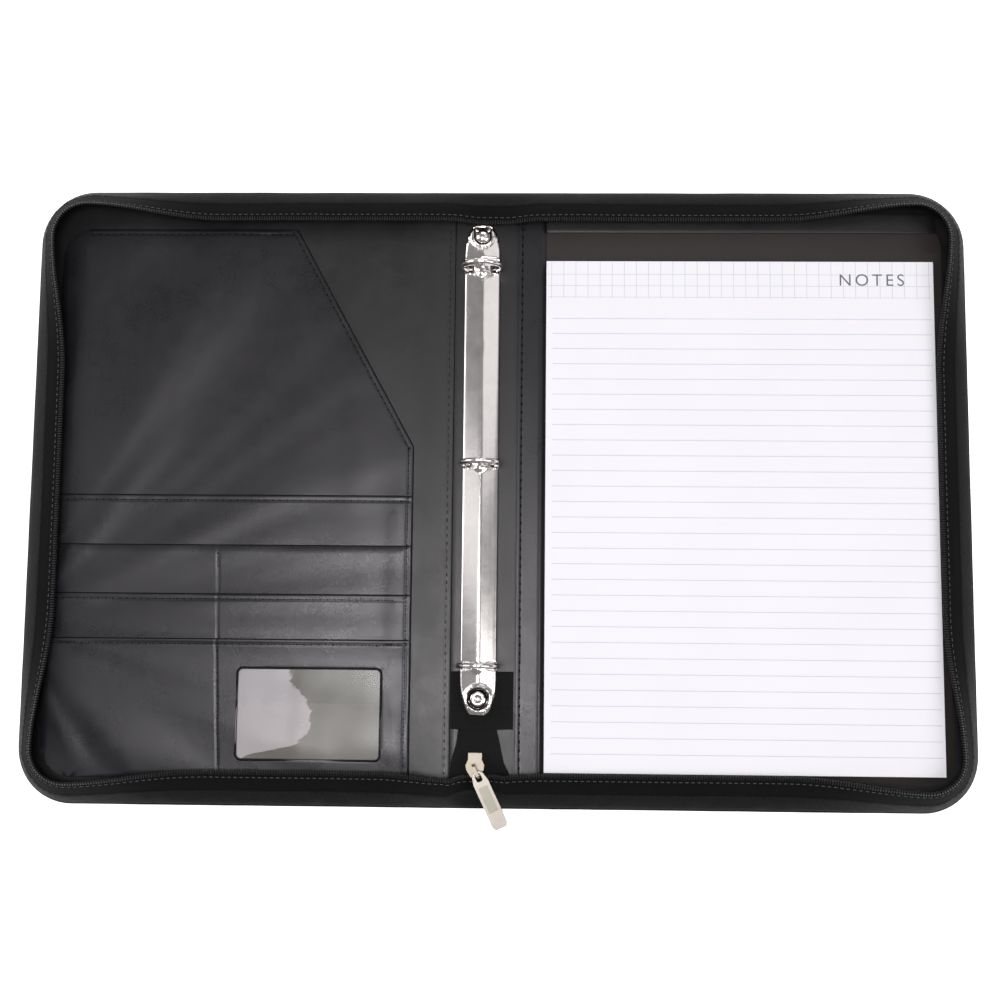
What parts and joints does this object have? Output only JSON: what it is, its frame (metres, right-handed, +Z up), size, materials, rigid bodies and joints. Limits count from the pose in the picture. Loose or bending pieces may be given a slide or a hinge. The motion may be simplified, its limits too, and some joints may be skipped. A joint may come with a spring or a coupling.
{
  "type": "portfolio case",
  "caption": "Zip-around portfolio lying open: front cover with stepped pockets and window, spine with ring binder mechanism, back cover with ruled memo pad.",
  "frame": {"origin": "centre of the spine's underside, on the table the open case lies on", "axes": "+X across the open case from front cover to back cover, +Y towards its top edge, +Z up"},
  "size_m": [0.51, 0.3466, 0.0276],
  "materials": {
    "outer_leather": "black grained imitation leather, low sheen",
    "inner_leather": "black smooth imitation leather, soft gloss",
    "board": "grey-brown bookbinding board",
    "backing_board": "dark brown-black card, matte",
    "paper": "white ruled writing paper",
    "zipper_tape": "black woven polyester tape",
    "zipper_coil": "black nylon coil",
    "chrome": "bright nickel-chrome plate",
    "nickel": "satin nickel plate, slightly warm",
    "clear_film": "clear flexible vinyl",
    "card": "grey card insert"
  },
  "bodies": {
    "back_cover": {"back_outer": "outer_leather", "back_board": "board", "back_lining": "inner_leather", "back_gusset": "outer_leather", "back_zip_tape": "zipper_tape", "back_zip_coil": "zipper_coil", "pad_board": "backing_board", "pad_paper": "paper", "pad_top_sheet": "paper", "pad_top_strip": "inner_leather"},
    "spine": {"spine_outer": "outer_leather", "spine_board": "board", "spine_lining": "inner_leather", "pad_side_strip": "inner_leather", "ring_plate": "chrome", "ring_rivet_top": "chrome", "ring_post_bottom": "chrome", "spine_zip_tab": "zipper_tape", "spine_top_gusset": "outer_leather", "spine_top_tape": "zipper_tape", "spine_bottom_gusset": "outer_leather", "spine_bottom_tape": "zipper_tape", "front_fold_leather": "outer_leather", "back_fold_leather": "outer_leather"},
    "front_cover": {"front_outer": "outer_leather", "front_board": "board", "front_lining": "inner_leather", "front_gusset": "outer_leather", "front_zip_tape": "zipper_tape", "front_zip_coil": "zipper_coil", "document_pocket": "inner_leather", "card_pocket_1": "inner_leather", "card_pocket_2": "inner_leather", "card_pocket_3": "inner_leather", "card_pocket_4": "inner_leather", "id_window": "clear_film", "id_card": "card"},
    "ring_left": {"ring_blade_left": "chrome", "ring_left_1": "chrome", "ring_left_2": "chrome", "ring_left_3": "chrome"},
    "ring_right": {"ring_blade_right": "chrome", "ring_right_1": "chrome", "ring_right_2": "chrome", "ring_right_3": "chrome"},
    "slider": {"slider_body": "nickel"},
    "puller": {"puller": "nickel"}
  },
  "joints": [
    {"name": "back_fold", "type": "hinge", "parent": "back_cover", "child": "spine", "pos_m": [0.024, 0, 0.0044], "axis": [0, 1, 0], "range_deg": [0, 90], "deforming": ["back_fold_leather", "spine_top_gusset", "spine_top_tape"]},
    {"name": "front_fold", "type": "hinge", "parent": "spine", "child": "front_cover", "pos_m": [-0.024, 0, 0.0044], "axis": [0, 1, 0], "range_deg": [0, 90], "deforming": ["front_fold_leather", "spine_bottom_gusset", "spine_bottom_tape"]},
    {"name": "ring_left_swing", "type": "hinge", "parent": "spine", "child": "ring_left", "pos_m": [-0.0174, 0, 0.0064], "axis": [0, -1, 0], "range_deg": [0, 11]},
    {"name": "ring_right_swing", "type": "hinge", "parent": "spine", "child": "ring_right", "pos_m": [-0.0006, 0, 0.0064], "axis": [0, 1, 0], "range_deg": [0, 11]},
    {"name": "slider_travel", "type": "slide", "parent": "spine", "child": "slider", "axis": [0, -1, 0], "range_m": [0, 0.008]},
    {"name": "puller_swing", "type": "hinge", "parent": "slider", "child": "puller", "pos_m": [-0.0085, -0.15, 0.0137], "axis": [-0.9063, -0.4226, 0], "range_deg": [0, 90]}
  ],
  "couplings": [
    {"joint": "ring_right_swing", "follows": "ring_left_swing", "ratio": 1}
  ]
}
